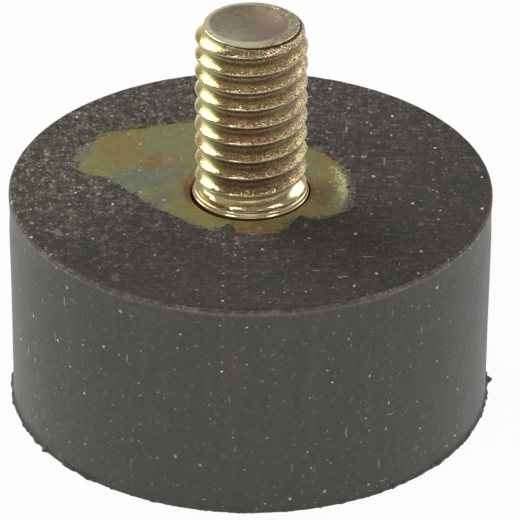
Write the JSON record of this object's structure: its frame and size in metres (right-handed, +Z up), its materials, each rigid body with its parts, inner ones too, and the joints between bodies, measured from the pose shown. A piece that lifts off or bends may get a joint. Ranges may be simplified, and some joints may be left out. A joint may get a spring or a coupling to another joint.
{
  "type": "rubber buffer",
  "caption": "Cylindrical rubber buffer bonded to a steel plate, with one threaded stud standing up from its top face.",
  "frame": {"origin": "centre of the rubber's base, on the surface that it stands on", "axes": "+Z up along the axis of the rubber and the stud, towards the free end of the stud; +X and +Y lie in the base"},
  "size_m": [0.0252, 0.0251, 0.0214],
  "materials": {
    "rubber": "matt moulded rubber, scratched and dusty, with pale specks",
    "plate_zinc": "yellow passivated zinc on steel, iridescent olive, gold and blue-grey",
    "stud_zinc": "yellow passivated zinc on steel, shiny gold with green and pink tints"
  },
  "bodies": {
    "root": {"rubber_body": "rubber", "backing_plate": "plate_zinc", "stud": "stud_zinc"}
  },
  "joints": []
}
